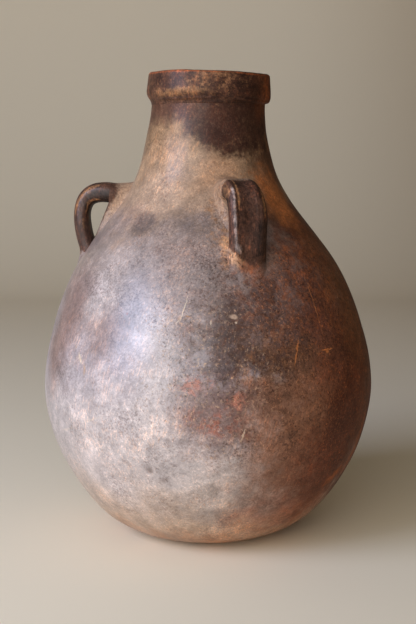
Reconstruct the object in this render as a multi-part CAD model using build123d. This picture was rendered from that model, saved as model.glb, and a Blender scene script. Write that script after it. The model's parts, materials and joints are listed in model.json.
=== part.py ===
from build123d import *
import os
from math import atan2, degrees

# Driving dimensions of a coil-built water jar, in millimetres.
# The jar stands on Z = 0 with its axis on Z, and its front faces -Y.

# Outer outline of the wall: stations from the flat the jar stands on up to the collar.
# Each rise is counted from the station below, so a course can be made taller by itself.
base_flat_radius = 46.0
heel_angle = 17.0  # degrees at which the outline leaves the flat
heel_rise = 8.0
heel_radius = 68.4
bowl_rise = 32.0
bowl_radius = 100.2
belly_rise = 72.0
belly_radius = 123.2
upper_belly_rise = 53.0
upper_belly_set_in = 10.0  # inside the belly's radius
shoulder_rise = 43.0
shoulder_radius = 93.4
shoulder_top_rise = 32.0
shoulder_top_radius = 69.3
neck_foot_rise = 24.0
neck_foot_radius = 53.9
neck_rise = 28.0
neck_radius = 45.6
neck_top_rise = 27.5
neck_top_radius = 41.8

# Wall.
wall_thickness = 7.0
floor_thickness = 9.0
lap = 6.0  # how far each course reaches down inside the one below it

# Collar round the mouth.
collar_height = 22.5
collar_overhang = 4.0  # past the neck, at the collar's foot
collar_taper = 1.6  # narrower at the lip by this much on the radius
mouth_wall = 7.3  # between the neck's outside and the mouth's bore
collar_foot_round = 2.6
lip_round = 2.8

# Strap handles: turn from the front towards +X in degrees, and drop of the upper arm below the neck's foot.
front_turn = 17.5
front_arm_drop = 4.5
left_turn = -92.0
left_arm_drop = 8.8
rear_turn = 153.0
rear_arm_drop = 7.0
strap_width = 27.0
strap_thickness = 12.2
strap_edge_round = 5.2
loop_drop = 17.0  # below the arm, where the gap behind the strap is measured
loop_gap = 17.0
leg_foot_gap = 6.6  # behind the strap where the leg bends back to the wall
arm_bend_radius = 14.0
strap_end_drop = 5.0  # below the shoulder station, where the leg is drawn into the wall
strap_end_depth = 12.0  # how far under the skin it is drawn before it is cut back
leg_foot_rise = 22.0  # above the strap's end
leg_bend_radius = 18.0

# Clay worked round the strap's two roots.
upper_root_drop = 6.0  # below the arm
upper_root_thickness = 8.5
upper_root_half_width = 21.0
upper_root_half_length = 27.0
lower_root_rise = 10.0  # above the strap's end
lower_root_thickness = 7.0
lower_root_half_width = 18.0
lower_root_half_length = 17.0

# Heights and radii that follow from these.
heel_height = heel_rise
bowl_height = heel_height + bowl_rise
belly_height = bowl_height + belly_rise
lower_belly_height = (bowl_height + belly_height) / 2
upper_belly_height = belly_height + upper_belly_rise
upper_belly_radius = belly_radius - upper_belly_set_in
shoulder_height = upper_belly_height + shoulder_rise
shoulder_top_height = shoulder_height + shoulder_top_rise
neck_foot_height = shoulder_top_height + neck_foot_rise
neck_height = neck_foot_height + neck_rise
neck_top_height = neck_height + neck_top_rise
mouth_radius = neck_top_radius - mouth_wall
strap_end_height = shoulder_height - strap_end_drop
heel_inside_height = heel_height + wall_thickness  # where the pad's joint comes out inside


def outline_edge(points):
    """One smooth edge through points in the XZ plane, leaving the floor at the heel and ending upright."""
    start = Vector(1, 0, 0).rotate(Axis.Y, -heel_angle)
    return Spline(*points, tangents=[start, (0, 0, 1)], tangent_scalars=[1, 1])


def outer_outline():
    stations = [
        (base_flat_radius, 0.0),
        (heel_radius, heel_height),
        (bowl_radius, bowl_height),
        (belly_radius, belly_height),
        (upper_belly_radius, upper_belly_height),
        (shoulder_radius, shoulder_height),
        (shoulder_top_radius, shoulder_top_height),
        (neck_foot_radius, neck_foot_height),
        (neck_radius, neck_height),
        (neck_top_radius, neck_top_height),
    ]
    return outline_edge([Vector(r, 0, z) for r, z in stations]), stations


def inner_outline(outer, stations):
    """The wall's inside: each station moved in by the wall, from the floor's edge to the mouth's bore."""
    points = [Vector(base_flat_radius, 0, floor_thickness)]
    for radius, height in stations[1:-1]:
        skin = Vector(radius, 0, height)
        along = outer.tangent_at(skin)
        inward = Vector(-along.Z, 0, along.X)
        points.append(skin + inward * wall_thickness)
    points.append(Vector(mouth_radius, 0, neck_top_height - lap))
    return outline_edge(points)


def place_at_height(edge, height):
    """Share of the way along a rising edge at which it reaches a height, by halving."""
    low, high = 0.0, 1.0
    for _ in range(50):
        middle = (low + high) / 2
        if (edge @ middle).Z < height:
            low = middle
        else:
            high = middle
    return (low + high) / 2


def revolved(edges):
    return revolve(make_face(edges), Axis.Z).solid()


def base_pad(outer, inner):
    """The disc of clay the jar is started on, flat below and inside, up to the heel."""
    outer_part = outer.trim(0, place_at_height(outer, heel_height))
    inner_part = inner.trim(0, place_at_height(inner, heel_inside_height))
    return revolved([
        Line((0, 0, 0), outer_part @ 0),
        outer_part,
        Line(outer_part @ 1, inner_part @ 1),
        inner_part,
        Line(inner_part @ 0, (0, 0, floor_thickness)),
        Line((0, 0, floor_thickness), (0, 0, 0)),
    ])


def wall_course(outer, inner, bottom, top, inside_bottom, inside_top):
    """A ring of wall between two heights on the outside and two on the inside."""
    outer_part = outer.trim(place_at_height(outer, bottom), place_at_height(outer, top))
    inner_part = inner.trim(place_at_height(inner, inside_bottom), place_at_height(inner, inside_top))
    return revolved([
        outer_part,
        Line(outer_part @ 1, inner_part @ 1),
        inner_part,
        Line(inner_part @ 0, outer_part @ 0),
    ])


def wall_courses(outer, inner):
    """Rings from the heel to the collar, whose lapped joints slope down towards the inside."""
    tops = {
        "bowl_wall": bowl_height,
        "lower_belly_wall": lower_belly_height,
        "middle_belly_wall": belly_height,
        "upper_belly_wall": upper_belly_height,
        "lower_shoulder_wall": shoulder_height,
        "upper_shoulder_wall": neck_foot_height,
        "neck_wall": neck_top_height,
    }
    bottom, inside_bottom = heel_height, heel_inside_height
    courses = {}
    for name, top in tops.items():
        courses[name] = wall_course(outer, inner, bottom, top, inside_bottom, top - lap)
        bottom, inside_bottom = top, top - lap
    return courses


def rim_collar():
    """Thick band round the mouth, lapped inside the neck and overhanging it outside."""
    top = neck_top_height + collar_height
    foot_radius = neck_top_radius + collar_overhang
    section = make_face(Polyline(
        (mouth_radius, 0, neck_top_height - lap),
        (neck_top_radius, 0, neck_top_height),
        (foot_radius, 0, neck_top_height),
        (foot_radius - collar_taper, 0, top),
        (mouth_radius, 0, top),
        close=True,
    ))
    corners = section.vertices()
    section = fillet(corners.filter_by(lambda v: v.Z > top - lip_round), lip_round)
    foot = section.vertices().filter_by(lambda v: v.Z < neck_top_height + collar_foot_round)
    section = fillet(foot.sort_by(Axis.X)[-1], collar_foot_round)
    return revolve(section, Axis.Z).solid()


def jar_skin(outer):
    """The jar filled solid to its outer outline, used to cut clay laid on it back to the skin."""
    top = outer @ 1
    return revolved([
        Line((0, 0, 0), outer @ 0),
        outer,
        Line(top, (0, 0, top.Z)),
        Line((0, 0, top.Z), (0, 0, 0)),
    ])


def skin_point(outer, height):
    return outer @ place_at_height(outer, height)


def strap(outer, arm_height):
    """Flattened bar that runs straight out of the neck's foot, bends down and back to the shoulder."""
    leg = skin_point(outer, arm_height - loop_drop).X + loop_gap + strap_thickness / 2
    foot_height = strap_end_height + leg_foot_rise
    foot = skin_point(outer, foot_height).X + leg_foot_gap + strap_thickness / 2
    end = skin_point(outer, strap_end_height) - Vector(strap_end_depth, 0, 0)
    path = FilletPolyline(
        (mouth_radius, 0, arm_height),
        (leg, 0, arm_height),
        (foot, 0, foot_height),
        end,
        radius=[arm_bend_radius, leg_bend_radius],
    )
    start = Plane(origin=path @ 0, x_dir=(0, 1, 0), z_dir=path % 0)
    section = start * RectangleRounded(strap_width, strap_thickness, strap_edge_round)
    return sweep(section, path=path).solid()


def root_pad(outer, height, thickness, half_width, half_length):
    """Lens of clay lying on the skin at a height, longest along the jar's outline."""
    place = place_at_height(outer, height)
    along = outer % place
    lens = scale(Sphere(1), by=(thickness, half_width, half_length))
    lean = degrees(atan2(-along.X, along.Z))
    return Pos(*(outer @ place)) * Rot(0, -lean, 0) * lens


def handle_pieces(outer, skin, arm_height):
    """A strap and the clay round its two roots, standing towards +X, each cut back to what it lies on."""
    bar = strap(outer, arm_height)
    upper = root_pad(outer, arm_height - upper_root_drop, upper_root_thickness,
                     upper_root_half_width, upper_root_half_length)
    lower = root_pad(outer, strap_end_height + lower_root_rise, lower_root_thickness,
                     lower_root_half_width, lower_root_half_length)
    return {
        "strap": bar - skin,
        "upper_root": upper - skin - bar,
        "lower_root": lower - skin - bar - upper,
    }


def main():
    os.makedirs("parts", exist_ok=True)
    outer, stations = outer_outline()
    inner = inner_outline(outer, stations)
    pieces = {
        "base_pad": base_pad(outer, inner),
        **wall_courses(outer, inner),
        "rim_collar": rim_collar(),
    }
    skin = jar_skin(outer)
    handles = [
        ("front", front_turn, front_arm_drop),
        ("left", left_turn, left_arm_drop),
        ("rear", rear_turn, rear_arm_drop),
    ]
    for side, turn, arm_drop in handles:
        facing = Rot(0, 0, turn - 90)
        for name, shape in handle_pieces(outer, skin, neck_foot_height - arm_drop).items():
            pieces[f"{side}_handle_{name}"] = facing * shape
    for name, shape in pieces.items():
        export_step(shape, f"parts/{name}.step")
        print(name, "solids", len(shape.solids()), "volume", round(shape.volume))


main()
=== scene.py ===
import bpy
import json
import math
import numpy as np
from mathutils import Matrix, Vector


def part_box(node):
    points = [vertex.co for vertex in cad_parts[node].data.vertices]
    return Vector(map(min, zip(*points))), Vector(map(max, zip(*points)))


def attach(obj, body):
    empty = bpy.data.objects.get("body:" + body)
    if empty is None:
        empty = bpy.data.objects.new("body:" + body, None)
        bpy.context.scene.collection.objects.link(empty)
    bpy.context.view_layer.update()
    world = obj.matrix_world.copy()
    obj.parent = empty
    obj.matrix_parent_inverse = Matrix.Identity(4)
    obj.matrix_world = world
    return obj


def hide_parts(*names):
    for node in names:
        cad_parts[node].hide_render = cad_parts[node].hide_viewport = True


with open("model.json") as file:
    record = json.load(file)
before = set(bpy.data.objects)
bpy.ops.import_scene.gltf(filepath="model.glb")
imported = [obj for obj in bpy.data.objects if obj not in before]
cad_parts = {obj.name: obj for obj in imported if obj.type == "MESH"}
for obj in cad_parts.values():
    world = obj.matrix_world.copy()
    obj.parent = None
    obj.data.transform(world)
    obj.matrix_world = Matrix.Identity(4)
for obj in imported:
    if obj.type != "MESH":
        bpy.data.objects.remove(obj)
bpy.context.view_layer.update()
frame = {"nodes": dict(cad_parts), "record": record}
mm = 0.001  # shapes below are worked out in millimetres
print("frame:", len(frame["nodes"]), "nodes")


def toLinear(code):
    # sRGB hex to linear red, green, blue, alpha
    part = np.array([int(code[k:k + 2], 16) / 255 for k in (1, 3, 5)])
    part = np.where(part <= 0.04045, part / 12.92, ((part + 0.055) / 1.055) ** 2.4)
    return (*part.tolist(), 1.0)


def easeIn(value, low, high):
    # 0 below low, 1 above high, an S-shaped rise between
    share = np.clip((np.asarray(value, float) - low) / (high - low), 0, 1)
    return share * share * (3 - 2 * share)


def plateau(value, low, full, fading, gone):
    # an S-shaped rise from low to full, and a fall from fading to gone
    return easeIn(value, low, full) * (1 - easeIn(value, fading, gone))


def bell(value, centre, width):
    # 1 at the centre, falling off to both sides as a bell curve
    return np.exp(-((value - centre) / width) ** 2)


def smoothLine(points, startWay, endWay, count):
    # one cubic for each span, matched in slope and bend at every point, run by chord length
    points = np.asarray(points, float)
    span = np.linalg.norm(np.diff(points, axis=0), axis=1)
    run = np.concatenate([[0], np.cumsum(span)])
    last = len(points) - 1
    inner = np.arange(1, last)
    match = np.eye(last + 1)
    match[inner, inner - 1] = span[1:]
    match[inner, inner] = 2 * (span[:-1] + span[1:])
    match[inner, inner + 1] = span[:-1]
    chord = np.diff(points, axis=0) / span[:, None]
    slope = np.zeros_like(points)
    slope[0], slope[-1] = startWay, endWay
    slope[1:-1] = 3 * (span[1:, None] * chord[:-1] + span[:-1, None] * chord[1:])
    slope = np.linalg.solve(match, slope)
    at = np.linspace(0, run[-1], count)
    k = np.clip(np.searchsorted(run, at) - 1, 0, last - 1)
    size = span[k, None]
    t = (at - run[k])[:, None] / size
    return ((2 * t**3 - 3 * t**2 + 1) * points[k] + (t**3 - 2 * t**2 + t) * size * slope[k]
            + (3 * t**2 - 2 * t**3) * points[k + 1] + (t**3 - t**2) * size * slope[k + 1])


def makePiece(node, rings, closed, material, creases=(), marks=None):
    # rings is rows x columns x 3 in mm: columns close on themselves, rows close too or end in a fan at each end
    # creases are rows with a sharp edge; marks are named values on the same grid, kept on the mesh for its clay
    rows, columns = rings.shape[:2]
    points = rings.reshape(-1, 3)
    index = np.arange(rows * columns).reshape(rows, columns)
    if closed:
        index = np.vstack([index, index[:1]])
    right = np.roll(index, -1, axis=1)
    quads = np.stack([index[:-1], right[:-1], right[1:], index[1:]], axis=-1).reshape(-1, 4)
    fans = np.zeros((0, 3), int)
    if not closed:
        points = np.vstack([points, rings[[0, -1]].mean(axis=1)])
        start, end = np.full(columns, rows * columns), np.full(columns, rows * columns + 1)
        fans = np.vstack([np.stack([start, right[0], index[0]], axis=-1),
                          np.stack([end, index[-1], right[-1]], axis=-1)])
    triangles = np.vstack([quads[:, :3], quads[:, [0, 2, 3]], fans])
    a, b, c = (points[triangles[:, k]] for k in range(3))
    if np.einsum("ij,ij->", a, np.cross(b, c)) < 0:  # signed volume says inside out
        quads, fans = quads[:, ::-1], fans[:, ::-1]
    corners = np.concatenate([quads.ravel(), fans.ravel()])
    sizes = np.concatenate([np.full(len(quads), 4), np.full(len(fans), 3)])
    mesh = bpy.data.meshes.new(node + "_clay")
    mesh.vertices.add(len(points))
    mesh.vertices.foreach_set("co", (points * mm).ravel())
    mesh.loops.add(len(corners))
    mesh.loops.foreach_set("vertex_index", corners)
    mesh.polygons.add(len(sizes))
    mesh.polygons.foreach_set("loop_start", np.cumsum(sizes) - sizes)
    mesh.polygons.foreach_set("use_smooth", np.ones(len(sizes), bool))
    mesh.update(calc_edges=True)
    if len(creases):
        ends = np.empty(len(mesh.edges) * 2, int)
        mesh.edges.foreach_get("vertices", ends)
        row = ends.reshape(-1, 2) // columns
        sharp = (row[:, 0] == row[:, 1]) & np.isin(row[:, 0], creases)
        mesh.attributes.new("sharp_edge", "BOOLEAN", "EDGE").data.foreach_set("value", sharp)
    for name, grid in (marks or {}).items():
        grid = np.broadcast_to(grid, (rows, columns))
        values = grid.ravel() if closed else np.concatenate([grid.ravel(), grid[[0, -1], 0]])
        mesh.attributes.new(name, "FLOAT", "POINT").data.foreach_set("value", values.astype(np.float32))
    mesh.validate()
    mesh.materials.append(material)
    piece = bpy.data.objects.new(node + "_clay", mesh)
    bpy.context.scene.collection.objects.link(piece)
    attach(piece, "root")
    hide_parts(node)
    return piece


def add(tree, kind, inputs=None, **settings):
    # one shader node: its settings, then a link or a plain value on each named or numbered input
    node = tree.nodes.new("ShaderNode" + kind)
    for key, value in settings.items():
        setattr(node, key, value)
    for key, value in (inputs or {}).items():
        if isinstance(value, bpy.types.NodeSocket):
            tree.links.new(value, node.inputs[key])
        else:
            node.inputs[key].default_value = value
    return node


# The jar's wall: outer skin through its stations, inner skin a wall's thickness inside it.
jar = dict(
    stations=[(46, 0), (68.4, 8), (100.2, 40), (123.2, 112), (113.2, 165), (93.4, 208),
              (69.3, 240), (53.9, 264), (45.6, 292), (41.8, 319.5)],  # radius and height
    heelAngle=17, wall=7, floor=9, lap=6, mouthRadius=34.5,
    courses=["bowl_wall", "lower_belly_wall", "middle_belly_wall", "upper_belly_wall",
             "lower_shoulder_wall", "upper_shoulder_wall", "neck_wall"],
    columns=512, rowStep=1.5, innerStep=3.0, seamRow=0.08, poleRadius=2, flatRings=24, linePoints=6000,
    sway=[(0, 0.2), (110, 0.2), (180, -0.4), (240, -0.9), (300, -0.9), (320, 0.2), (342, 1.1)],  # height, shift in X
)
handwork = dict(
    seed=11, skinSet=-0.28, spread=(0.5, 1.3),
    foot=(6, 40), mouth=(0, 30),  # lengths of outline over which the waves fade at each end
    waves=[  # count, turns round, length along the outline, height of each
        (7, (1, 4), (140, 340), 0.11),
        (14, (3, 9), (60, 150), 0.05),
        (26, (8, 26), (25, 70), 0.012),
    ],
)


def rollWaves(seed):
    dice = np.random.default_rng(seed)
    made = []
    for count, turns, lengths, height in handwork["waves"]:
        made.append(np.stack([
            dice.integers(turns[0], turns[1] + 1, count),
            2 * np.pi / dice.uniform(lengths[0], lengths[1], count) * dice.choice([-1, 1], count),
            dice.uniform(0, 2 * np.pi, count),
            height * dice.uniform(*handwork["spread"], count)], axis=-1))
    return np.vstack(made)


skinWaves = rollWaves(handwork["seed"])
innerWaves = rollWaves(handwork["seed"] + 1)


def unevenness(waves, angle, run):
    # sum of waves that close round the jar: height x cos(turns x angle + rate x run + start)
    total = np.zeros(np.broadcast(angle, run).shape)
    for turns, rate, start, height in waves:
        total += height * np.cos(turns * angle + rate * run + start)
    return total


heelWay = (math.cos(math.radians(jar["heelAngle"])), math.sin(math.radians(jar["heelAngle"])))
skinLine = smoothLine(jar["stations"], heelWay, (0, 1), jar["linePoints"])


def alongLine(line):
    # length run so far and the unit normal to the right of the way up, for a line of radius and height
    step = np.diff(line, axis=0)
    run = np.concatenate([[0], np.cumsum(np.linalg.norm(step, axis=1))])
    way = np.gradient(line, axis=0)
    way /= np.linalg.norm(way, axis=1)[:, None]
    return run, np.stack([way[:, 1], -way[:, 0]], axis=-1)


skinRun, skinOut = alongLine(skinLine)
stationPlaces = [int(np.argmin(np.linalg.norm(skinLine - spot, axis=1))) for spot in jar["stations"][1:-1]]
innerStations = ([(jar["stations"][0][0], jar["floor"])]
                 + [skinLine[k] - skinOut[k] * jar["wall"] for k in stationPlaces]
                 + [(jar["mouthRadius"], jar["stations"][-1][1] - jar["lap"])])
innerLine = smoothLine(innerStations, heelWay, (0, 1), jar["linePoints"])
innerRun, innerOut = alongLine(innerLine)


def runAt(height):
    return float(np.interp(height, skinLine[:, 1], skinRun))


def innerRunAt(height):
    return float(np.interp(height, innerLine[:, 1], innerRun))


def swayAt(height):
    heights, shifts = np.array(jar["sway"]).T
    return np.interp(height, heights, shifts)


def carriedRound(angle, run, rise, line, lineRun, lineOut):
    # point of an outline + rise x its normal, turned to the angle and swayed in X
    radius, height = (np.interp(run, lineRun, line[:, k]) + rise * np.interp(run, lineRun, lineOut[:, k])
                      for k in (0, 1))
    return np.stack([radius * np.cos(angle) + swayAt(height), radius * np.sin(angle),
                     height + 0 * angle], axis=-1)


def skinAt(angle, run, lift=0.0):
    # the outer skin: the outline + waves of hand work + lift
    rise = (unevenness(skinWaves, angle, run) + handwork["skinSet"]) * easeIn(run, *handwork["foot"]) + lift
    return carriedRound(angle, run, rise, skinLine, skinRun, skinOut)


def innerAt(angle, run):
    # the inner skin, wiped smooth by hand
    rise = unevenness(innerWaves, angle, run) * easeIn(run, *handwork["foot"])
    rise = rise * easeIn(innerRun[-1] - run, *handwork["mouth"])
    return carriedRound(angle, run, rise, innerLine, innerRun, innerOut)


def rowsBetween(low, high, step):
    # even rows with one thin row at each end, so that shading meets across a joint
    count = max(4, round((high - low) / step))
    thin = jar["seamRow"]
    return np.concatenate([[low], np.linspace(low + thin, high - thin, count), [high]])


# Clay colours, as the fired and worn surface shows them in plain light.
palette = dict(
    pale="#cbb79e", cream="#c2936c", neckPale="#b89a82", pinkBuff="#b5a7a1", buff="#a8896e", tan="#936846",
    ochre="#8a6240", orange="#b8703f", salmon="#b4705a", rust="#94512c", brick="#8f4b35", worn="#8f4e2e",
    warmBrown="#7c533d", brown="#79625a", redBrown="#62443d", umber="#523b34", darkBrown="#472b1e",
    deepRed="#5a2a16", grey="#6f625f", smoke="#5f514b", soot="#38271f", charcoal="#3a2219",
    strapDark="#432a1f", black="#22150f",
)
wallBands = [  # height and colour of the wall before the patches
    (0, "#9d7050"), (24, "#ad9480"), (64, "#b1a49e"), (108, "#a69b97"), (140, "#938787"), (200, "#87776f"),
    (230, "#8a776c"), (243, "#997e68"), (300, "#86684b"), (310, "#684b39"), (318, "#553929"), (342, "#523424"),
]
# Smoke clouds, wear, painted shade and painted sheen, in the order they are laid: name, turn from the front in
# degrees, height, half width, half height, tilt, colour, amount, softness, kind of edge, and how far out of the wall
# where it isn't on it.
wallPatches = [
    ("pale left belly", -44, 96, 56, 40, 0, "pinkBuff", 0.25, 0.6, "cloud"),
    ("pale front left", -18, 138, 16, 34, 0, "pinkBuff", 0.7, 0.8, "cloud"),
    # painted sheen: this pale scuffed patch also stands in for the light's bluish sheen on the upper left
    ("pale upper left", -45, 186, 15, 16, 20, "pinkBuff", 0.75, 0.8, "torn"),
    ("pale left shoulder", -42, 212, 22, 16, 0, "pinkBuff", 0.4, 0.8, "cloud"),
    ("pale neck foot", -38, 257, 20, 11, 0, "neckPale", 0.4, 0.8, "cloud"),
    ("brown left belly", -38, 163, 13, 16, -28, "brown", 0.6, 0.6, "torn"),
    ("brown left edge", -64, 160, 26, 40, 0, "brown", 0.92, 0.6, "cloud"),
    # painted shade in part: the deep red of the right side, its front and its shoulder also stands in for shade away
    # from the light
    ("shaded right side", 84, 130, 84, 110, 0, "deepRed", 0.97, 0.5, "cloud"),
    ("right belly front", 46, 150, 44, 70, 0, "deepRed", 0.85, 0.6, "cloud"),
    ("right shoulder", 66, 232, 36, 36, 20, "deepRed", 0.9, 0.5, "cloud"),
    ("orange neck edge", 80, 284, 12, 26, 0, "rust", 0.55, 0.6, "torn"),
    ("orange right belly", 46, 196, 32, 30, 0, "rust", 0.6, 0.7, "flecks"),
    ("orange right low", 48, 98, 36, 36, 0, "rust", 0.55, 0.7, "flecks"),
    ("brown middle", 19, 166, 46, 36, -6, "umber", 0.85, 0.5, "ragged"),
    ("brown under front handle", 26, 206, 22, 16, 0, "umber", 0.6, 0.6, "ragged"),
    ("dark band right", 34, 147, 34, 8, 4, "charcoal", 0.65, 0.7, "torn"),
    ("rust flecks in middle", 22, 172, 46, 32, 0, "rust", 0.45, 0.6, "flecks"),
    ("dark middle", 6, 164, 14, 20, 0, "soot", 0.5, 0.7, "torn"),
    ("dark band left end", 5, 152, 9, 6, 0, "umber", 0.3, 0.7, "torn"),
    ("dark band middle", 15, 149, 23, 8, 0, "charcoal", 0.6, 0.7, "torn"),
    ("brown in the middle", 15, 163, 9, 6, 0, "brown", 0.5, 0.7, "torn"),
    ("brown above the middle", 8, 190, 10, 7, 0, "brown", 0.4, 0.8, "torn"),
    ("ochre wear", 20, 130, 26, 20, 24, "ochre", 0.3, 0.7, "ragged"),
    ("ochre flecks", 22, 136, 34, 26, 24, "ochre", 0.55, 0.6, "flecks"),
    ("warm middle", 23, 124, 24, 20, 10, "warmBrown", 0.8, 0.7, "ragged"),
    ("warm lower right", 36, 82, 50, 66, 0, "warmBrown", 0.95, 0.5, "cloud"),
    # painted highlight: the tan lightening along the right edge stands in for a rim sheen
    ("brown right edge", 68, 176, 26, 52, 0, "tan", 0.42, 0.8, "cloud"),
    # painted shade in part: the dark deep red and charcoal low on the right also stand in for shade
    ("dark lower right", 46, 58, 38, 36, 0, "deepRed", 0.75, 0.7, "ragged"),
    ("dark right low", 54, 98, 28, 48, 0, "deepRed", 0.88, 0.8, "cloud"),
    ("brown foot front", 16, 36, 28, 14, 0, "brown", 0.5, 0.8, "cloud"),
    ("shade right low", 57, 88, 24, 40, 0, "charcoal", 0.35, 0.8, "cloud"),
    ("rust foot right", 36, 28, 32, 18, 0, "rust", 0.45, 0.8, "cloud"),
    ("dark under the ochre", 17, 122, 15, 9, -15, "darkBrown", 0.4, 0.7, "torn"),
    ("brown front cloud", 2, 114, 25, 24, 6, "redBrown", 0.8, 0.7, "torn"),
    ("red wear upper", -4, 134.5, 10, 5, 8, "salmon", 0.9, 0.8, "bare"),
    ("red wear right", 8.5, 122.5, 6, 5, 30, "salmon", 0.9, 0.8, "bare"),
    ("red wear lower", 4, 108, 16, 8, -10, "brick", 0.65, 0.8, "bare"),
    ("red chip right", 8.6, 122.4, 3.2, 2.4, 30, "salmon", 0.7, 0.9, "mark"),
    ("red chip upper", -3.6, 133, 3.6, 4, -20, "salmon", 0.5, 0.9, "mark"),
    ("smoke spot", -38, 235, 9.5, 9, 0, "smoke", 0.85, 0.5, "round"),
    ("brown by left handle", -53, 240, 13, 10, 0, "brown", 0.45, 0.8, "torn"),
    ("brown upper belly", -12, 219, 22, 12, 0, "brown", 0.35, 0.8, "cloud"),
    ("smoke by the spot", -7, 237, 22, 10, 0, "smoke", 0.55, 0.8, "torn"),
    ("tan shoulder right", 14, 268, 20, 14, 0, "tan", 0.4, 0.6, "cloud"),
    ("brown right of neck", 64, 276, 20, 20, 0, "darkBrown", 0.7, 0.6, "torn"),
    ("orange shoulder", 54, 252, 16, 20, 10, "orange", 0.95, 0.6, "torn"),
    ("neck cloud", 40, 306, 46, 21, 0, "charcoal", 0.93, 0.35, "torn"),
    ("neck cloud low", 30, 287, 16, 6, -6, "charcoal", 0.85, 0.5, "torn"),
    ("neck cloud left", -7, 304, 12, 12, 0, "soot", 0.92, 0.4, "torn"),
    ("neck cloud front", 13, 303, 17, 17, 0, "charcoal", 0.96, 0.5, "torn"),
    # smoke with painted shade: darkens the wall and the root's web behind the front strap
    ("smoke behind front strap", 10, 230, 13, 14, 0, "umber", 0.85, 0.6, "torn", 12),
    ("soot on front strap", 17, 238, 12, 18, 0, "soot", 0.5, 0.6, "torn", 24),
    ("brown band left", -42, 315, 42, 9, 0, "darkBrown", 0.8, 0.7, "torn"),
    ("tan by front handle", 6, 236, 8, 20, 0, "ochre", 0.7, 0.6, "flecks", 6),
    ("front root pale", 9.5, 223, 5, 8, -10, "cream", 0.95, 0.6, "torn", 3),
    # painted sheen: a bluish-grey patch at the foot of the front strap stands in for a reflection
    ("grey bloom on front strap", 14, 221, 8, 6, 0, "grey", 0.9, 0.6, "torn", 13),
    ("front root tan", 11, 211, 8, 6, -30, "cream", 0.7, 0.6, "torn", 6),
    ("front root rust", 18, 205, 8, 7, 0, "rust", 0.7, 0.7, "torn", 4),
    ("charcoal mark one", -20, 73, 2.2, 3.2, 20, "charcoal", 0.55, 0.8, "mark"),
    ("charcoal mark two", -15, 66, 3.0, 2.0, 20, "charcoal", 0.45, 0.8, "mark"),
    ("charcoal mark three", -28, 76, 4, 1.6, -35, "smoke", 0.5, 0.8, "mark"),
    ("charcoal mark four", -11, 78, 1.8, 1.2, 0, "charcoal", 0.5, 0.8, "mark"),
    ("rust low right", 56, 54, 9, 5, 40, "rust", 0.85, 0.7, "torn"),
    ("rust low edge", 68, 74, 5, 22, -12, "rust", 0.6, 0.7, "torn"),
    ("rear smoke cloud", 165, 140, 58, 44, 15, "umber", 0.85, 0.5, "ragged"),
    ("rear pale belly", -140, 80, 60, 48, 0, "pinkBuff", 0.6, 0.6, "cloud"),
    ("rear rust", -165, 112, 22, 15, 20, "brick", 0.55, 0.7, "flecks"),
    ("rear neck cloud", -150, 302, 30, 14, 0, "charcoal", 0.8, 0.4, "torn"),
    ("left rear smoke", -112, 165, 30, 34, 10, "smoke", 0.7, 0.6, "ragged"),
    ("pale grit in the middle", 8, 150, 60, 66, 0, "buff", 0.9, 0.6, "grit"),
    ("soot in the middle", 12, 156, 62, 68, 0, "darkBrown", 0.97, 0.6, "soot"),
    ("blots in the middle", 15, 160, 54, 50, 0, "soot", 0.5, 0.6, "blots"),
    ("rust grit on the right", 56, 150, 66, 100, 0, "rust", 0.95, 0.5, "grit"),
    ("soot on the right", 60, 152, 66, 98, 0, "charcoal", 0.85, 0.5, "soot"),
    ("grit on the shoulder", -16, 214, 40, 34, 0, "pinkBuff", 0.3, 0.6, "grit"),
    ("soot on the shoulder", -16, 210, 50, 40, 0, "umber", 0.3, 0.6, "soot"),
    # from here on the collar
    ("dark collar", 60, 331, 54, 16, 0, "charcoal", 0.86, 0.4, "torn", 3),
    ("tan collar foot", -22, 326.8, 25, 3.1, 2, "ochre", 0.62, 0.5, "spot", 3),
    ("tan collar front", -2, 334, 10, 6, 0, "tan", 0.2, 0.7, "torn", 3),
    ("dark collar front", 10, 328, 9, 7, 0, "charcoal", 0.75, 0.6, "torn", 3),
    ("dark collar left", -36, 335.5, 22, 5, 0, "charcoal", 0.65, 0.6, "torn", 3),
    ("rear collar smoke", -150, 332, 45, 14, 0, "charcoal", 0.7, 0.5, "torn", 3),
    ("rust collar right", 80, 328, 20, 18, 0, "rust", 0.4, 0.7, "torn", 3),
    ("rust collar edge", 66, 329, 2.2, 9, 0, "rust", 0.6, 0.6, "torn", 3),
    ("tan blots on the collar", 8, 334, 18, 7, 0, "tan", 0.45, 0.6, "blots", 3),
    ("grit on the collar", 0, 331, 60, 16, 0, "tan", 0.55, 0.5, "grit", 3),
    ("soot on the collar", 0, 331, 60, 16, 0, "charcoal", 0.75, 0.5, "soot", 3),
    # painted shade: a thin dark line in the groove where the collar meets the neck
    ("groove under the collar", -20, 322.9, 26, 0.6, 1, "umber", 0.6, 0.6, "mark", 2),
]
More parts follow.
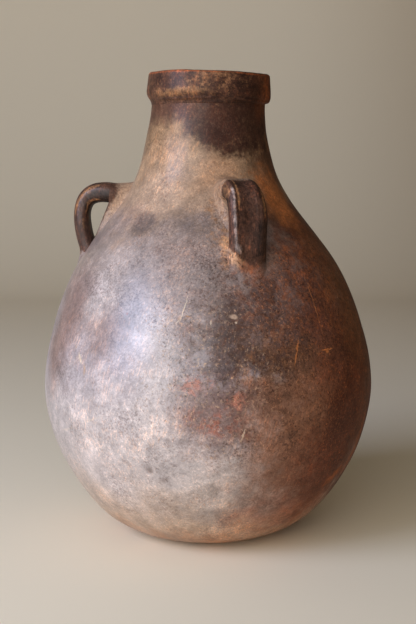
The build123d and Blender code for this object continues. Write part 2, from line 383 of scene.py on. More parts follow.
scratches = [  # the same fields without the edge: bare clay where the burnish is cut through
    ("forked scratch", -8.6, 182, 0.4, 7.5, -14, "pale", 0.7, 0.6),
    ("fork left", -10, 175, 0.4, 3.2, -40, "pale", 0.5, 0.6),
    ("chip by fork", -7, 177, 1.9, 0.8, -5, "ochre", 0.8, 0.5),
    ("chip middle", 9, 177, 2.5, 1.5, -10, "neckPale", 0.9, 0.5),
    ("chip middle low", 9.6, 173, 0.7, 0.7, 0, "pale", 0.6, 0.5),
    ("tick left", 1, 173, 0.45, 1.6, 0, "pale", 0.5, 0.6),
    ("slanting scratch", 30.5, 152, 0.55, 8, -20, "orange", 0.9, 0.5),
    ("level scratch", 44, 151, 6, 0.5, 0, "orange", 0.85, 0.5),
    ("level scratch chip", 44, 149.6, 1.5, 1.1, 0, "orange", 0.85, 0.5),
    ("long scratch", 43, 181, 0.4, 17, 2, "orange", 0.6, 0.5),
    ("low scratch", 11, 100, 0.6, 3.6, -18, "pale", 0.5, 0.6),
    ("left chip", -47.5, 144, 1.2, 3.4, 35, "pale", 0.75, 0.7),
    ("left chip low", -44.5, 137, 1.0, 3.6, 10, "buff", 0.7, 0.7),
    ("left chip up", -51, 151, 0.7, 1.6, 20, "buff", 0.6, 0.6),
    ("red dot", -30, 177, 0.9, 1.1, 0, "brick", 0.7, 0.5),
    ("lower left scratch", -54, 92, 9, 0.6, 18, "pale", 0.4, 0.8),
    ("lower left scratch two", -40, 104, 8, 0.5, 22, "pale", 0.3, 0.8),
]
# How far a patch is drawn out of its oval: the drift it starts from, then the noise's size and reach in mm.
wander = dict(cloud=(None, 34, 60), ragged=("cloud", 7, 22), torn=(None, 6, 16), mark=(None, 2.4, 2.6))
# For each kind of edge, its wander and how much its rim breaks up.
edges = dict(cloud=("cloud", 0.9), bare=("torn", 1.4), ragged=("ragged", 2.2), flecks=("ragged", 1.2),
             grit=("ragged", 2.8), soot=("ragged", 2.8), blots=("ragged", 2.2), torn=("torn", 1.8),
             spot=("torn", 0.5), round=("mark", 1.0), mark=("mark", 0.5))
# Kinds that show only in specks: the specks' size in mm, and the noise values over which they fade in.
specks = dict(flecks=(4.5, 0.47, 0.62), bare=(5, 0.49, 0.56), grit=(1.9, 0.55, 0.66), soot=(2.1, 0.46, 0.35),
              blots=(9, 0.49, 0.57))
patch = dict(reach=4, depth=0.8, breakUp=16)  # radii to the gradient's end, depth over size, rim noise in mm
noiseSpan = {"From Min": 0.3, "From Max": 0.7}  # most of a noise's values


def onSkin(turn, height, tilt, lift):
    # centre and turn of a patch: axes across, up the outline and out of the wall
    angle = math.radians(turn - 90)
    run = runAt(height)
    radius, outR, outZ = (np.interp(run, skinRun, part) for part in (skinLine[:, 0], skinOut[:, 0], skinOut[:, 1]))
    across = Vector((-math.sin(angle), math.cos(angle), 0))
    out = Vector((outR * math.cos(angle), outR * math.sin(angle), outZ))
    axes = Matrix((across, out.cross(across), out)).transposed() @ Matrix.Rotation(math.radians(tilt), 3, "Z")
    centre = Vector((radius * math.cos(angle), radius * math.sin(angle), height)) + lift * out
    return centre, axes.to_euler()


def clayMaterial(name, finish):
    # low-fired clay rubbed with a stone: a soft sheen, smoke clouds, fine grain and hair scratches
    material = bpy.data.materials.new(name)
    material.use_nodes = True
    tree = material.node_tree
    shader = tree.nodes["Principled BSDF"]
    where = add(tree, "TexCoord").outputs["Object"]

    # noises that the patches share: they break up the rims, fill patches with specks or draw them out of shape
    rough = {"Vector": where, "Scale": 1 / (patch["breakUp"] * mm), "Detail": 8, "Roughness": 0.7}
    breakUp = add(tree, "TexNoise", rough).outputs["Fac"]
    grains = {}
    for edge, (size, low, high) in specks.items():
        grain = add(tree, "TexNoise", {"Vector": where, "Scale": 1 / (size * mm), "Detail": 6, "Roughness": 0.68})
        fade = {"Value": grain.outputs["Fac"], "From Min": low, "From Max": high}
        grains[edge] = add(tree, "MapRange", fade).outputs[0]
    drifts, places = {}, {}  # in metres and in mm
    for way, (start, size, reach) in wander.items():
        grain = add(tree, "TexNoise", {"Vector": where, "Scale": 1 / (size * mm), "Detail": 3, "Roughness": 0.6})
        shift = add(tree, "VectorMath", {0: grain.outputs["Color"], 1: (0.5, 0.5, 0.5)}, operation="SUBTRACT")
        drift = {0: shift.outputs[0], 1: (reach * mm,) * 3, 2: drifts.get(start, where)}
        drifts[way] = add(tree, "VectorMath", drift, operation="MULTIPLY_ADD").outputs[0]
        places[way] = add(tree, "Mapping", {"Vector": drifts[way], "Scale": (1 / mm,) * 3}).outputs[0]

    # ground colour by height
    height = add(tree, "SeparateXYZ", {0: drifts["ragged"]}).outputs["Z"]
    top = wallBands[-1][0]
    share = add(tree, "MapRange", {"Value": height, "From Max": top * mm}).outputs[0]
    ramp = add(tree, "ValToRGB", {0: share})
    stops = ramp.color_ramp.elements
    stops[0].color, stops[1].color = toLinear(wallBands[0][1]), toLinear(wallBands[-1][1])
    for at, code in wallBands[1:-1]:
        stops.new(at / top).color = toLinear(code)
    colour = ramp.outputs["Color"]

    # patches: each is mixed in as soon as its mask is made, to keep few values open at a time
    patches = wallPatches + [(*scratch, "mark") for scratch in scratches]
    for label, turn, tall, halfWide, halfTall, tilt, tone, amount, soft, edge, *lift in patches:
        centre, lean = onSkin(turn, tall, tilt, lift[0] if lift else 0)
        way, broken = edges[edge]
        reach = patch["reach"]
        halves = (reach * halfWide, reach * halfTall, reach * patch["depth"] * max(halfWide, halfTall))
        oval = {"Vector": places[way], "Location": centre, "Rotation": lean, "Scale": halves}
        oval = add(tree, "Mapping", oval, vector_type="TEXTURE", label=label).outputs[0]
        fall = add(tree, "TexGradient", {"Vector": oval}, gradient_type="SPHERICAL").outputs["Fac"]
        torn = add(tree, "Math", {0: breakUp, 1: -broken / reach, 2: fall}, operation="MULTIPLY_ADD").outputs[0]
        rim = 1 + broken / 2
        fade = {"Value": torn, "From Min": 1 - (rim + soft) / reach, "From Max": 1 - (rim - soft) / reach,
                "To Max": amount}
        mask = add(tree, "MapRange", fade, interpolation_type="SMOOTHSTEP").outputs[0]
        if edge in grains:
            mask = add(tree, "Math", {0: mask, 1: grains[edge]}, operation="MULTIPLY").outputs[0]
        layer = {0: mask, 6: colour, 7: toLinear(palette[tone])}  # a Mix node's factor and two colours
        colour = add(tree, "Mix", layer, data_type="RGBA").outputs[2]

    # smoke, soot with painted shade, wear, and a pale ridge with a painted highlight and sheen, from the mesh's own
    # marks, broken up by the same noise
    for mark, low, high, broken, tone, amount in finish["marks"]:
        value = add(tree, "Attribute", attribute_name=mark).outputs["Fac"]
        torn = add(tree, "Math", {0: breakUp, 1: broken, 2: value}, operation="MULTIPLY_ADD").outputs[0]
        fade = {"Value": torn, "From Min": low + broken / 2, "From Max": high + broken / 2, "To Max": amount}
        mask = add(tree, "MapRange", fade, interpolation_type="SMOOTHSTEP").outputs[0]
        layer = {0: mask, 6: colour, 7: toLinear(palette[tone])}
        colour = add(tree, "Mix", layer, data_type="RGBA").outputs[2]
    # rubs: spots where fine noise passes a threshold inside a coarse one, each a gain on the colour below
    for size, spacing, lean, long, low, high, gain in finish["rubs"]:
        turned = {"Vector": where, "Rotation": (0, math.radians(lean), 0), "Scale": (1, 1, long)}
        turned = add(tree, "Mapping", turned, vector_type="TEXTURE").outputs[0]
        fine = add(tree, "TexNoise", {"Vector": turned, "Scale": 1 / (size * mm), "Detail": 3, "Roughness": 0.6})
        coarse = add(tree, "TexNoise", {"Vector": where, "Scale": 1 / (spacing * mm), "Detail": 3, "Roughness": 0.6})
        both = {0: coarse.outputs["Fac"], 1: 0.5, 2: fine.outputs["Fac"]}
        both = add(tree, "Math", both, operation="MULTIPLY_ADD").outputs[0]
        spot = add(tree, "MapRange", {"Value": both, "From Min": low, "From Max": high}).outputs[0]
        layer = {0: spot, 6: colour, 7: (*gain, 1)}
        colour = add(tree, "Mix", layer, data_type="RGBA", blend_type="MULTIPLY").outputs[2]
    # dust of bare clay in the grain, which shows most where the smoke is dark
    for size, low, high, light in finish["dust"]:
        grain = add(tree, "TexNoise", {"Vector": where, "Scale": 1 / (size * mm), "Detail": 4, "Roughness": 0.65})
        spot = {"Value": grain.outputs["Fac"], "From Min": low, "From Max": high}
        layer = {0: add(tree, "MapRange", spot).outputs[0], 6: colour, 7: (*light, 1)}
        colour = add(tree, "Mix", layer, data_type="RGBA", blend_type="ADD").outputs[2]
    # mottling of the fired skin: its value wanders over several sizes
    for size, low, high in finish["mottle"]:
        grain = add(tree, "TexNoise", {"Vector": where, "Scale": 1 / (size * mm), "Detail": 3, "Roughness": 0.65})
        swing = {"Value": grain.outputs["Fac"], **noiseSpan, "To Min": low, "To Max": high}
        layer = {0: 1.0, 6: colour, 7: add(tree, "MapRange", swing).outputs[0]}
        colour = add(tree, "Mix", layer, data_type="RGBA", blend_type="MULTIPLY").outputs[2]
    # the inside is wiped, not burnished
    inside = add(tree, "Attribute", attribute_name="inside").outputs["Fac"]
    layer = {0: inside, 6: colour, 7: toLinear(finish["inside"])}
    colour = add(tree, "Mix", layer, data_type="RGBA").outputs[2]
    tree.links.new(colour, shader.inputs["Base Color"])

    # sheen: a thin glossy coat in slanting strokes of the burnishing stone, worn away along an axis, none inside
    turned = {"Vector": where, "Rotation": (0, math.radians(finish["strokeLean"]), 0),
              "Scale": (1, 1, finish["strokeLong"])}
    turned = add(tree, "Mapping", turned, vector_type="TEXTURE").outputs[0]
    strokes = {"Vector": turned, "Scale": 1 / (finish["strokeSize"] * mm), "Detail": 6, "Roughness": 0.7}
    swing = {"Value": add(tree, "TexNoise", strokes).outputs["Fac"], **noiseSpan}
    low, high = finish["coat"]
    coat = add(tree, "MapRange", {**swing, "To Min": low, "To Max": high}).outputs[0]
    axes = add(tree, "SeparateXYZ", {0: where})
    for axis, low, high, left in finish["wornOff"]:
        span = {"From Min": low * mm, "From Max": high * mm, "To Min": 1, "To Max": left}
        keep = add(tree, "MapRange", {"Value": axes.outputs[axis], **span}).outputs[0]
        coat = add(tree, "Math", {0: coat, 1: keep}, operation="MULTIPLY").outputs[0]
    outside = add(tree, "Math", {0: 1.0, 1: inside}, operation="SUBTRACT").outputs[0]
    coat = add(tree, "Math", {0: coat, 1: outside}, operation="MULTIPLY").outputs[0]
    tree.links.new(coat, shader.inputs["Coat Weight"])
    shader.inputs["Coat Roughness"].default_value = finish["coatRough"]
    shader.inputs["Coat IOR"].default_value = finish["coatIor"]
    low, high = finish["rough"]
    rough = add(tree, "MapRange", {**swing, "To Min": low, "To Max": high}).outputs[0]
    tree.links.new(rough, shader.inputs["Roughness"])
    shader.inputs["Specular IOR Level"].default_value = finish["shine"]

    # relief: burnishing facets and grit
    normal = None
    for size, depth in finish["relief"]:
        grain = add(tree, "TexNoise", {"Vector": where, "Scale": 1 / (size * mm), "Detail": 4, "Roughness": 0.65})
        bump = add(tree, "Bump", {"Height": grain.outputs["Fac"], "Strength": 1.0, "Distance": depth * mm})
        if normal:
            tree.links.new(normal, bump.inputs["Normal"])
        normal = bump.outputs["Normal"]
    tree.links.new(normal, shader.inputs["Normal"])
    return material


# What the lists of a finish hold, with sizes in mm:
# marks: name, from, to, how much the noise breaks it up, colour, amount
# rubs: size, spacing, lean in degrees, stretch, from, to, gain; dust: size, from, to, light added
# mottle: size, lowest and highest gain; wornOff: axis, from, to, share of the coat left; relief: size, depth
tanGain, darkGain, paleGain = (1.45, 1.25, 1.1), (0.58, 0.54, 0.54), (1.25, 1.23, 1.2)
smokeMark = ("smoke", 0.35, 0.65, 1.6, "strapDark", 0.95)
clay = dict(rough=(0.5, 0.75), shine=0.15, coatIor=1.6, strokeLean=-35, strokeLong=3, inside="#4f3c33")
wallFinish = dict(  # burnished to a soft sheen on the left, dull on the right and up the neck, fine pale streaks
    clay, marks=[smokeMark],
    rubs=[(1.5, 30, 0, 1, 0.8, 0.94, paleGain), (1.5, 25, 0, 1, 0.8, 0.94, darkGain),
          (1.1, 30, 14, 8, 0.82, 0.94, tanGain), (1.1, 34, -40, 8, 0.81, 0.93, paleGain),
          (0.9, 28, 62, 10, 0.82, 0.94, paleGain)],
    dust=[(1.4, 0.52, 0.7, (0.035, 0.022, 0.014)), (4, 0.53, 0.72, (0.035, 0.018, 0.009)),
          (2, 0.69, 0.76, (0.12, 0.08, 0.05))],
    mottle=[(60, 0.9, 1.1), (18, 0.82, 1.18), (7, 0.82, 1.18), (2.2, 0.85, 1.15), (1.1, 0.92, 1.08)],
    strokeSize=9, coat=(0.45, 1.0), coatRough=0.3, wornOff=[("X", -30, 60, 0.15), ("Z", 238, 300, 0.2)],
    relief=[(9, 0.4), (1.8, 0.16)],
)
smokedFinish = dict(  # the collar: dark and blotched, tan where hands rubbed it, red clay along the lip
    clay, marks=[smokeMark, ("wear", 0.5, 1.0, 2.4, "worn", 0.7)],
    rubs=[(2.0, 18, 0, 2, 0.8, 0.95, tanGain), (3.0, 22, 0, 2.5, 0.8, 0.95, tanGain),
          (1.6, 20, 0, 1, 0.8, 0.94, darkGain)],
    dust=[(1.6, 0.54, 0.72, (0.03, 0.017, 0.01)), (5, 0.56, 0.74, (0.035, 0.017, 0.008))],
    mottle=[(30, 0.88, 1.12), (9, 0.68, 1.32), (4, 0.7, 1.3), (2.2, 0.66, 1.34), (1.1, 0.78, 1.22)],
    strokeSize=6, coat=(0.05, 0.2), coatRough=0.35, wornOff=[("X", -20, 40, 0.2)],
    relief=[(6, 0.4), (1.6, 0.2)],
)
strapFinish = dict(  # the straps: nearly black, streaked lengthwise, ochre and pale on the edges that are gripped
    # soot: soot with painted shade on the wall's side of the strap
    clay, marks=[smokeMark, ("soot", 0.2, 0.9, 1.0, "black", 0.85), ("wear", 0.5, 1.0, 2.4, "ochre", 0.75),
                 # ridge: a pale rub with a painted highlight along the ridge and a painted sheen at its foot
                 ("ridge", 0.5, 1.1, 2.0, "pinkBuff", 0.5)],
    rubs=[(1.1, 12, 0, 7, 0.76, 0.92, (1.6, 1.45, 1.4)), (0.9, 10, 0, 7, 0.74, 0.9, (0.5, 0.47, 0.47)),
          (1.6, 18, 10, 3, 0.82, 0.94, (2.2, 1.8, 1.5))],
    dust=[(1.6, 0.56, 0.74, (0.03, 0.017, 0.01))],
    mottle=[(16, 0.85, 1.15), (6, 0.7, 1.3), (2.2, 0.75, 1.25), (1.1, 0.85, 1.15)],
    strokeSize=4, coat=(0.05, 0.5), coatRough=0.35, wornOff=[("X", -20, 40, 0.3)],
    relief=[(5, 0.5), (1.4, 0.22)],
)
rootFinish = dict(wallFinish, coat=(0.0, 0.25), rough=(0.55, 0.8))  # smeared with wet fingers, so duller
wallClay = clayMaterial("burnished low-fired earthenware", wallFinish)
smokedClay = clayMaterial("smoked burnished earthenware", smokedFinish)
strapClay = clayMaterial("smoked earthenware strap", strapFinish)
rootClay = clayMaterial("hand-smeared earthenware", rootFinish)
print("clay: four finishes")


roundAngles = np.linspace(0, 2 * np.pi, jar["columns"], endpoint=False)[None, :]
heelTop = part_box("bowl_wall")[0].z / mm
bottom, innerBottom = heelTop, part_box("base_pad")[1].z / mm

# Base pad: flat below, heel, lapped joint, floor inside, closed by a fan at each pole.
flatRows = np.linspace(jar["poleRadius"], jar["stations"][0][0], jar["flatRings"])[:, None]
ring = np.stack([np.cos(roundAngles), np.sin(roundAngles), 0 * roundAngles], axis=-1)
sole = flatRows[:, :, None] * ring + np.array([swayAt(0), 0, 0])
floorDisc = sole[::-1] + np.array([0, 0, jar["floor"]])
heel = skinAt(roundAngles, rowsBetween(0, runAt(heelTop), jar["rowStep"])[1:, None])
dish = innerAt(roundAngles, rowsBetween(0, innerRunAt(innerBottom), jar["innerStep"])[:0:-1, None])
padRows = np.concatenate([sole, heel, dish, floorDisc])
edgeRows = [len(sole) + len(heel) - 1, len(sole) + len(heel)]
within = (np.arange(len(padRows)) >= edgeRows[1])[:, None]
makePiece("base_pad", padRows, False, wallClay, edgeRows, dict(inside=within))

# Wall courses: outer rows up, inner rows down, closed through the two lapped joints.
for node in jar["courses"]:
    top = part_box(node)[1].z / mm
    innerTop = top - jar["lap"]
    outerRuns = rowsBetween(runAt(bottom), runAt(top), jar["rowStep"])
    innerRuns = rowsBetween(innerRunAt(innerBottom), innerRunAt(innerTop), jar["innerStep"])[::-1]
    outer, inner = skinAt(roundAngles, outerRuns[:, None]), innerAt(roundAngles, innerRuns[:, None])
    edgeRows = [0, len(outer) - 1, len(outer), len(outer) + len(inner) - 1]
    within = (np.arange(len(outer) + len(inner)) >= len(outer))[:, None]
    makePiece(node, np.concatenate([outer, inner]), True, wallClay, edgeRows,
              dict(inside=within))
    bottom, innerBottom = top, innerTop
print("wall: base pad and", len(jar["courses"]), "courses")

# Collar: a worked section round the mouth, its lip tilted and worn. Its foot is smeared onto the neck on the left
# and the front, and overhangs it on the right and the rear: the two sections are mixed round the jar.
collar = dict(
    smeared=[(41.5, 318.7), (42.0, 320.2), (42.9, 322.0), (44.2, 324.0), (45.2, 326.0), (45.3, 331.5)],
    overhung=[(41.5, 318.6), (42.6, 319.9), (44.4, 321.2), (45.55, 323.4), (45.7, 326.4), (45.3, 331.5)],
    upper=[(44.8, 336.6), (44.5, 339.9), (44.0, 341.5), (42.7, 342.0), (39.6, 341.8), (36.8, 341.3),
           (35.2, 339.9), (34.6, 336.5), (34.5, 330), (34.5, 322), (34.5, 313.6)],  # radius and height
    rows=150, footWay=(0.7, 0.7), boreWay=(0, -1),
    outerRun=(1, 4, 40, 52), mouthRun=(34, 46),  # along the section: the outside fades in and out, the bore begins
    overhangTurns=(8, 44, 150, 178), ripple=0.8, rippleRun=430,
    lipDrop=1.7, lipHeights=(326, 341), lipWave=0.18, lipWaves=[(3, 0.7), (7, 2.1)], lipWear=(0.392, 0.02),
    footDrop=1.2, footHeights=(320, 330),
    foldTurns=(22, 36, 66, 78), foldHeight=323.6, foldWidth=0.9, foldDepth=0.9, foldSink=1.6, foldSinkTurns=(25, 60),
    foldBead=(-1.7, 1.2, 0.5),  # a bead beside the fold: offset, width, share of its depth
)
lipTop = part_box("rim_collar")[1].z / mm
turnRound = np.degrees(roundAngles) + 90
turnRound = np.where(turnRound > 180, turnRound - 360, turnRound)
overhang = plateau(turnRound, *collar["overhangTurns"])
sections = [smoothLine(collar[foot] + collar["upper"], collar["footWay"], collar["boreWay"], collar["rows"])
            for foot in ("smeared", "overhung")]
radius, height = (sections[0][:, k, None] + (sections[1] - sections[0])[:, k, None] * overhang for k in (0, 1))
sectionRun, sectionOut = alongLine(sections[1])
outside = plateau(sectionRun, *collar["outerRun"])[:, None]
lipShare = easeIn(height, *collar["lipHeights"])
footShare = 1 - easeIn(height, *collar["footHeights"])
rightward = (1 + np.cos(roundAngles)) / 2  # 1 on the right side, 0 on the left
lipWave = sum(np.cos(turns * roundAngles + start) for turns, start in collar["lipWaves"]) / 2 - 1
collarHeight = (height - lipShare * (collar["lipDrop"] * rightward ** 2 - collar["lipWave"] * lipWave)
                - footShare * outside * collar["footDrop"] * rightward ** 2)
# the fold: a groove with a bead beside it, sinking towards the right
foldLine = collar["foldHeight"] - collar["foldSink"] * easeIn(turnRound, *collar["foldSinkTurns"])
beadOff, beadWidth, beadShare = collar["foldBead"]
fold = bell(height, foldLine, collar["foldWidth"]) - beadShare * bell(height, foldLine + beadOff, beadWidth)
ripple = unevenness(skinWaves, roundAngles, collar["rippleRun"] + sectionRun[:, None]) * collar["ripple"]
rise = outside * (ripple - collar["foldDepth"] * fold * plateau(turnRound, *collar["foldTurns"]))
collarRadius = radius + rise * sectionOut[:, :1]
collarRows = np.stack([collarRadius * np.cos(roundAngles) + swayAt(height), collarRadius * np.sin(roundAngles),
                       np.minimum(collarHeight + rise * sectionOut[:, 1:], lipTop)], axis=-1)
lipWear = bell(sectionRun / sectionRun[-1], *collar["lipWear"])[:, None]
makePiece("rim_collar", collarRows, True, smokedClay, [0, collar["rows"] - 1],
          dict(wear=lipWear, inside=easeIn(sectionRun, *collar["mouthRun"])[:, None]))
print("collar")

# Strap handles: an arch of changing thickness and width, given for the left one and moved for the others.
handle = dict(
    line=[(54, 252.4, 5.6, 11.0), (65, 253.7, 6.7, 12.6), (73, 254.8, 7.3, 13.5), (79, 254.8, 7.2, 13.4),
          (85, 253.1, 6.8, 13.3), (89.4, 249.6, 6.1, 13.2), (92, 244.2, 5.5, 13.2), (93, 237, 5.3, 13.2),
          (92.6, 230, 5.6, 13.2), (91.5, 223, 5.9, 13.3), (89.5, 216, 6.3, 13.5), (86.4, 208, 6.6, 13.8),
          (83.2, 202, 6.6, 14)],  # radius, height, half thickness, half width
    arm=255.2, armAboveLoop=14, loopDrop=17, moved=(206, 250), rows=140, columns=112, squareness=2.9,
    seeds=dict(front=3, left=5, rear=8),
    swing=(0.03, 0.025, 0.5),  # share of the thickness, share of the width, mm across
    swingRates=(0.7, 1.6, 2.7), swingSpread=(0.4, 1), swingTurn=6.3,
    ridges=[(-0.72, 2.4, 1.0), (0.6, 2.6, 0.6), (-0.05, 4.6, -0.8)],  # place over half width, width, height
    ridgeAlong=(0.16, 0.3, 0.74, 0.9), ridgeDrift=(0.12, 7, 9), faceRound=0.6,
    streak=0.1, streaks=[(1.0, 1.7, 3, 1), (0.7, 2.9, -5, 2)], streakFade=(9, 0.4),
)
# The straps' marks: along goes from 0 at the upper end to 1 at the lower, over from -1 to 1 across the width,
# depth from -1 on the wall's side to 1 on the outer face.
marks = dict(
    smokeIn=dict(front=(0.22, 0.36), left=(0.04, 0.18), rear=(0.15, 0.3)), smokeOut=(0.86, 1.0), smokeSlant=0.15,
    sootShadeAlong=(0.4, 0.6), sootShadeStart=-0.55, sootShadeNarrow=1.3, sootShadeSoft=0.6,
    rightOver=(0.05, 0.5), rightAlong=(0.45, 0.62), rightSoot=dict(front=0.75, left=0, rear=0.5),
    edgeOver=(0.82, 0.11), edgeWear=0.55, edgeBehind=0.3,
    besideOver=(-0.52, 0.1), besideAlong=(0.24, 0.32, 0.48, 0.62), besideWear=0.9,
    farOver=(0.86, 0.09), farWear=0.75,
    flankOver=(0.84, 0.96), flankAlong=(0.16, 0.24, 0.42, 0.52), flankWear=0.55,
    spotOver=(0.8, 0.95), spotAlong=(0.63, 0.08), spotDepth=(-0.35, 0.4),
    spotWear=dict(front=0, left=0.95, rear=0.6),
    ridgeOver=(-0.76, 0.12), ridgeAlong=(0.28, 0.4, 0.66, 0.82),
    paintedSheenOver=(-0.6, 0.3), paintedSheenAlong=(0.79, 0.06), paintedSheen=0.95,
)
roots = dict(
    rows=44, under=0.5, lift=0.25, tuck=0.9, behind=1.5,
    upper=dict(place=0.2, armDrop=3, up=13, down=42, side=13.8, pull=5, hug=0.12, slide=8, smokeFade=2.0),
    lower=dict(place=0.82, footHeight=212, up=13, down=20, side=16.5, pull=5, hug=0.3, slide=3, smokeFade=2.2),
)
loops = {mount["name"]: mount["pos_m"] for mount in frame["record"]["mounts"]}


def radiusAt(height):
    return float(np.interp(height, skinLine[:, 1], skinLine[:, 0]))


def onWall(facing, run, across, lift):
    # point on the skin: a length along the outline, a distance across from the way a handle faces
    return skinAt(facing + across / np.interp(run, skinRun, skinLine[:, 0]), run, lift)


for side, seed in handle["seeds"].items():
    spot = np.array(loops[side + "_rope_loop"]) / mm
    facing = math.atan2(spot[1], spot[0])
    away = np.array([math.cos(facing), math.sin(facing), 0])
    across = np.array([-math.sin(facing), math.cos(facing), 0])
    upward = np.array([0, 0, 1.0])
    arm = spot[2] + handle["armAboveLoop"]
    line = np.array(handle["line"])
    share = easeIn(line[:, 1], *handle["moved"])
    line[:, 0] += share * (radiusAt(arm - handle["loopDrop"]) - radiusAt(handle["arm"] - handle["loopDrop"]))
    line[:, 1] += share * (arm - handle["arm"])
    startWay, endWay = ((line[k + 1] - line[k]) / np.linalg.norm(line[k + 1] - line[k]) for k in (0, -2))
    line = smoothLine(line, startWay, endWay, handle["rows"])
    way = np.gradient(line[:, :2], axis=0)
    way /= np.linalg.norm(way, axis=1)[:, None]
    face = np.stack([-way[:, 1], way[:, 0]], axis=-1)  # outer face: up on the arm, outwards on the leg
    # section: a rounded oblong, |cos| and |sin| to a power below 1, its size swinging a little along the strap
    dice = np.random.default_rng(seed)
    place = np.linspace(0, 1, handle["rows"])[:, None]
    once = handle["swingTurn"]
    sway = [sum(dice.uniform(*handle["swingSpread"]) * np.cos(rate * place * once + dice.uniform(0, once))
                for rate in handle["swingRates"]) for _ in handle["swing"]]
    turn = np.linspace(0, 2 * np.pi, handle["columns"], endpoint=False)[None, :]
    power = 2 / handle["squareness"]
    thick = line[:, 2:3] * (1 + handle["swing"][0] * sway[0])
    wide = line[:, 3:4] * (1 + handle["swing"][1] * sway[1])
    flat = wide * np.sign(np.cos(turn)) * np.abs(np.cos(turn)) ** power
    proud = thick * np.sign(np.sin(turn)) * np.abs(np.sin(turn)) ** power
    # pressed into the outer face: ridges, bell curves over the width that fade at both ends, and finger streaks
    front = np.clip(np.sin(turn), 0, 1) ** handle["faceRound"]
    fadeEnds = plateau(place, *handle["ridgeAlong"])
    driftBy, driftRate, driftStep = handle["ridgeDrift"]
    for at, width, height in handle["ridges"]:
        drift = 1 + driftBy * np.cos(driftRate * place + seed + driftStep * at)
        proud = proud + height * drift * fadeEnds * front * bell(flat, at * drift * wide, width)
    streaks = sum(height * np.sin(over * flat + along * place + start * seed)
                  for height, over, along, start in handle["streaks"])
    fadeAlong, fadeOver = handle["streakFade"]
    proud = proud + handle["streak"] * front * streaks * (0.5 + 0.5 * np.cos(fadeAlong * place + fadeOver * flat))
    flat = flat + handle["swing"][2] * sway[2]
    radial, tall = (line[:, k:k + 1] + proud * face[:, k:k + 1] for k in (0, 1))
    strapSkin = (radial[..., None] * away + tall[..., None] * upward + flat[..., None] * across
                 + swayAt(tall)[..., None] * np.array([1, 0, 0]))

    over, depth = flat / wide, proud / thick
    # smoke between the roots, ending higher towards one long edge
    slant = marks["smokeSlant"] * np.clip(-over, 0, 1)
    smoke = easeIn(place, *marks["smokeIn"][side]) * (1 - easeIn(place + slant, *marks["smokeOut"]))
    # soot and painted shade on the wall's side, wide under the bend and narrow down the leg, and darker low on the
    # right
    sootShadeLine = marks["sootShadeStart"] + marks["sootShadeNarrow"] * easeIn(place, *marks["sootShadeAlong"])
    soot = easeIn(-depth - sootShadeLine, 0, marks["sootShadeSoft"]) * smoke
    rightSoot = easeIn(over, *marks["rightOver"]) * easeIn(place, *marks["rightAlong"]) * front * smoke
    soot = np.maximum(soot, marks["rightSoot"][side] * rightSoot)
    # wear along both long edges, beside the ridge, on the upper flank and in a spot on the other flank
    beside = plateau(place, *marks["besideAlong"])
    spotAt = bell(place, *marks["spotAlong"]) * bell(depth, *marks["spotDepth"])
    behind = marks["edgeBehind"]
    wear = (marks["edgeWear"] * bell(np.abs(over), *marks["edgeOver"]) * (behind + (1 - behind) * front)
            + marks["besideWear"] * bell(over, *marks["besideOver"]) * front * beside
            + marks["farWear"] * bell(over, *marks["farOver"]) * beside
            + marks["flankWear"] * easeIn(-over, *marks["flankOver"]) * plateau(place, *marks["flankAlong"])
            + marks["spotWear"][side] * easeIn(over, *marks["spotOver"]) * spotAt)
    # the ridge rubbed pale, with a painted highlight along it, and a painted sheen at its foot
    paintedSheen = bell(over, *marks["paintedSheenOver"]) * bell(place, *marks["paintedSheenAlong"]) * front
    ridge = bell(over, *marks["ridgeOver"]) * front * plateau(place, *marks["ridgeAlong"]) + marks["paintedSheen"] * paintedSheen
    makePiece(side + "_handle_strap", strapSkin, False, strapClay,
              marks=dict(smoke=smoke, soot=soot, wear=wear, ridge=ridge))

    # Roots: a flare of cubic curves from a ring on the skin to a ring round the strap.
    turn = turn[0]
    t = np.linspace(0, 1, roots["rows"])[:, None, None]
    behind = np.clip(-np.sin(turn), 0, 1)[:, None] ** roots["behind"]  # the wall's side of the strap
    for which, upSign in (("upper", 1), ("lower", -1)):  # the outer face looks up, then down
        root = roots[which]
        k = int(root["place"] * handle["rows"])
        strapRing = strapSkin[k]
        ringMiddle = strapRing.mean(axis=0)
        tucked = ringMiddle + roots["tuck"] * (strapRing - ringMiddle)
        # the ring on the skin: an oval round the strap's foot, longer downwards
        footRun = runAt(arm - root["armDrop"] if which == "upper" else root["footHeight"])
        outer = upSign * np.sin(turn)
        reach = outer * np.where(outer > 0, root["up"], root["down"])
        landAcross = np.cos(turn) * root["side"]
        near = 1 - root["hug"]
        p0 = onWall(facing, footRun + reach, landAcross, -roots["under"])
        p1 = onWall(facing, footRun + near * reach, near * landAcross, roots["lift"])
        slope = np.array([np.interp(footRun, skinRun, np.gradient(skinLine[:, axis])) for axis in (0, 1)])
        slope *= -upSign / np.linalg.norm(slope)
        slide = slope[0] * away + slope[1] * upward  # along the wall, away from the strap's other root
        strapWay = -upSign * way[k]
        pull = strapWay[0] * away + strapWay[1] * upward
        p2 = strapRing + pull * root["pull"] * (1 - behind) + slide * root["slide"] * behind
        flare = (1 - t) ** 3 * p0 + 3 * (1 - t) ** 2 * t * p1 + 3 * (1 - t) * t ** 2 * p2 + t ** 3 * strapRing
        fade = np.append(np.linspace(0, 1, roots["rows"]) ** root["smokeFade"], 1)[:, None]
        makePiece(f"{side}_handle_{which}_root", np.concatenate([flare, tucked[None]]), False, rootClay,
                  [roots["rows"] - 1], dict(smoke=fade * smoke[k]))
print("handles:", ", ".join(handle["seeds"]))

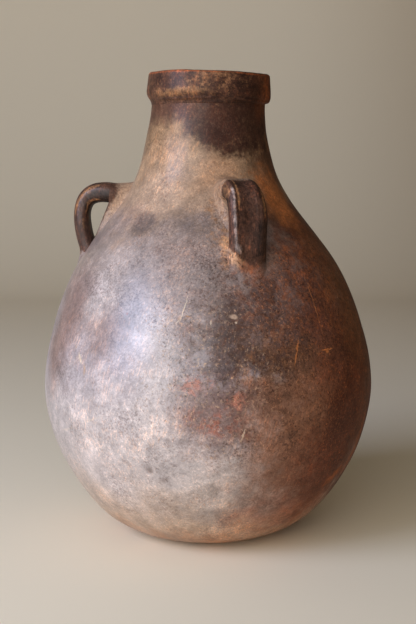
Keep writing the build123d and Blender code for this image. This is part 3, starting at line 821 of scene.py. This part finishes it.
# Pale floor that sweeps up into a backdrop: a path of floor, quarter bend and wall, carried sideways.
studio = dict(width=14.0, front=-7.0, back=1.3, bend=0.7, top=3.0, bendRows=24, columns=9,
              left="#efdfc2", right="#a98f6c", turnsAt=(0.1, 1.1), rough=0.95)
back, bend = studio["back"], studio["bend"]
bendTurn = np.linspace(0, np.pi / 2, studio["bendRows"])
quarter = np.stack([back + bend * np.sin(bendTurn), bend * (1 - np.cos(bendTurn))], axis=-1)
path = np.vstack([[studio["front"], 0], quarter, [back + bend, studio["top"]]])
sidePlaces = np.linspace(-studio["width"] / 2, studio["width"] / 2, studio["columns"])
sheet = np.stack(np.broadcast_arrays(sidePlaces[None, :], path[:, :1], path[:, 1:]), axis=-1)
index = np.arange(sheet[..., 0].size).reshape(sheet.shape[:2])
faces = np.stack([index[:-1, :-1], index[:-1, 1:], index[1:, 1:], index[1:, :-1]], axis=-1).reshape(-1, 4)
sweepMesh = bpy.data.meshes.new("studio_sweep")
sweepMesh.from_pydata(sheet.reshape(-1, 3).tolist(), [], faces.tolist())
sweepMesh.polygons.foreach_set("use_smooth", np.ones(len(faces), bool))
sweep = bpy.data.objects.new("studio_sweep", sweepMesh)
bpy.context.scene.collection.objects.link(sweep)
paper = bpy.data.materials.new("matt paper")  # no gloss, only soft shadows; warmer and darker to the right
paper.use_nodes = True
paperTree = paper.node_tree
paperShader = paperTree.nodes["Principled BSDF"]
where = add(paperTree, "TexCoord").outputs["Object"]
# painted shade: the paper turns darker and warmer to the right, like a backdrop in shade
sideways = add(paperTree, "SeparateXYZ", {0: where}).outputs["X"]
shade = {"Value": sideways, "From Min": studio["turnsAt"][0], "From Max": studio["turnsAt"][1]}
shade = add(paperTree, "MapRange", shade, interpolation_type="SMOOTHSTEP").outputs[0]
tones = {0: shade, 6: toLinear(studio["left"]), 7: toLinear(studio["right"])}
tone = add(paperTree, "Mix", tones, data_type="RGBA").outputs[2]
paperTree.links.new(tone, paperShader.inputs["Base Color"])
paperShader.inputs["Roughness"].default_value = studio["rough"]
sweepMesh.materials.append(paper)

# Light: a cool window-like softbox high on the left, a broad softbox in front, and soft light from all round.
lamps = [
    dict(name="window_softbox", at=(-1.3, -0.84, 0.9), aim=(0, 0, 0.18), size=(0.9, 0.9), watts=28,
         colour="#cbdbff"),
    dict(name="front_softbox", at=(-0.66, -1.64, 0.62), aim=(0, 0, 0.16), size=(1.6, 1.3), watts=27,
         colour="#f2f1f0"),
]
room = dict(colour="#e9e4dc", strength=0.13)
for lamp in lamps:
    light = bpy.data.lights.new(lamp["name"], "AREA")
    light.shape = "RECTANGLE"
    light.size, light.size_y = lamp["size"]
    light.energy = lamp["watts"]
    light.color = toLinear(lamp["colour"])[:3]
    holder = bpy.data.objects.new(lamp["name"], light)
    bpy.context.scene.collection.objects.link(holder)
    holder.location = lamp["at"]
    holder.rotation_euler = (Vector(lamp["aim"]) - Vector(lamp["at"])).to_track_quat("-Z", "Y").to_euler()
world = bpy.data.worlds.new("soft_room")
bpy.context.scene.world = world
world.use_nodes = True
background = world.node_tree.nodes["Background"]
background.inputs["Color"].default_value = toLinear(room["colour"])
background.inputs["Strength"].default_value = room["strength"]

# Camera: a little above the shoulder, looking slightly down, as the photograph was taken.
view = dict(at=(0, -0.85, 0.286), tilt=8.12, lens=65.51, sensor=36, clip=(0.05, 20))
cameraData = bpy.data.cameras.new("camera")
cameraData.lens = view["lens"]
cameraData.sensor_width = view["sensor"]
cameraData.clip_start, cameraData.clip_end = view["clip"]
camera = bpy.data.objects.new("camera", cameraData)
bpy.context.scene.collection.objects.link(camera)
camera.location = view["at"]
camera.rotation_euler = (math.radians(90 - view["tilt"]), 0, 0)
bpy.context.scene.camera = camera
bpy.context.scene.view_settings.view_transform = "Standard"
print("studio: floor, two softboxes and camera")
